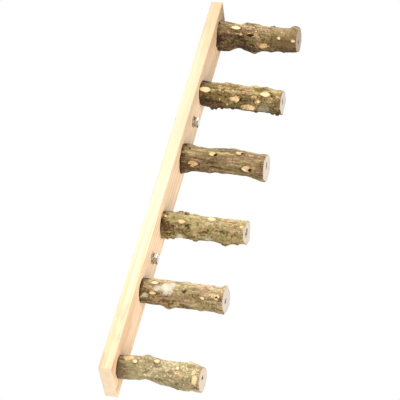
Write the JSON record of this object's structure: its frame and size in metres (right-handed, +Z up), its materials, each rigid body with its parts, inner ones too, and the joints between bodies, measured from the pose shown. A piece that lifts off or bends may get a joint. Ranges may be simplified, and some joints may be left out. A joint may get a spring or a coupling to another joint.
{
  "type": "wooden bird ladder",
  "caption": "Single-rail bird ladder: a flat pine board with bark-covered branch perches standing out of its front, bolted to cage bars through clamp washers and nuts.",
  "frame": {"origin": "middle of the board's back face, which goes against the cage", "axes": "+Z up along the board, +Y out of its back, the perches stand out along -Y"},
  "size_m": [0.048, 0.1121, 0.5],
  "materials": {
    "pine": "planed, unfinished",
    "bark": "natural bark, sawn ends",
    "zinc_steel": "bright zinc plate",
    "screw_steel": "yellow passivated zinc"
  },
  "bodies": {
    "ladder": {"board": "pine", "perch_1": "bark", "perch_2": "bark", "perch_3": "bark", "perch_4": "bark", "perch_5": "bark", "perch_6": "bark", "perch_screw_1": "screw_steel", "perch_screw_2": "screw_steel", "perch_screw_3": "screw_steel", "perch_screw_4": "screw_steel", "perch_screw_5": "screw_steel", "perch_screw_6": "screw_steel", "cage_bolt_upper": "zinc_steel", "cage_bolt_lower": "zinc_steel", "head_washer_upper": "zinc_steel", "head_washer_lower": "zinc_steel"},
    "upper_washer": {"clamp_washer_upper": "zinc_steel"},
    "upper_nut": {"clamp_nut_upper": "zinc_steel"},
    "lower_washer": {"clamp_washer_lower": "zinc_steel"},
    "lower_nut": {"clamp_nut_lower": "zinc_steel"}
  },
  "joints": [
    {"name": "upper_washer_travel", "type": "slide", "parent": "ladder", "child": "upper_washer", "axis": [0, 1, 0], "range_m": [0, 0.002]},
    {"name": "upper_nut_turn", "type": "hinge", "parent": "upper_washer", "child": "upper_nut", "pos_m": [0, 0.0038, 0.08915], "axis": [0, 1, 0], "range_deg": [0, 720]},
    {"name": "lower_washer_travel", "type": "slide", "parent": "ladder", "child": "lower_washer", "axis": [0, 1, 0], "range_m": [0, 0.002]},
    {"name": "lower_nut_turn", "type": "hinge", "parent": "lower_washer", "child": "lower_nut", "pos_m": [0, 0.0038, -0.09765], "axis": [0, 1, 0], "range_deg": [0, 720]}
  ],
  "couplings": [
    {"joint": "upper_nut_turn", "follows": "upper_washer_travel", "rad_per_m": 6283.2},
    {"joint": "lower_nut_turn", "follows": "lower_washer_travel", "rad_per_m": 6283.2}
  ]
}
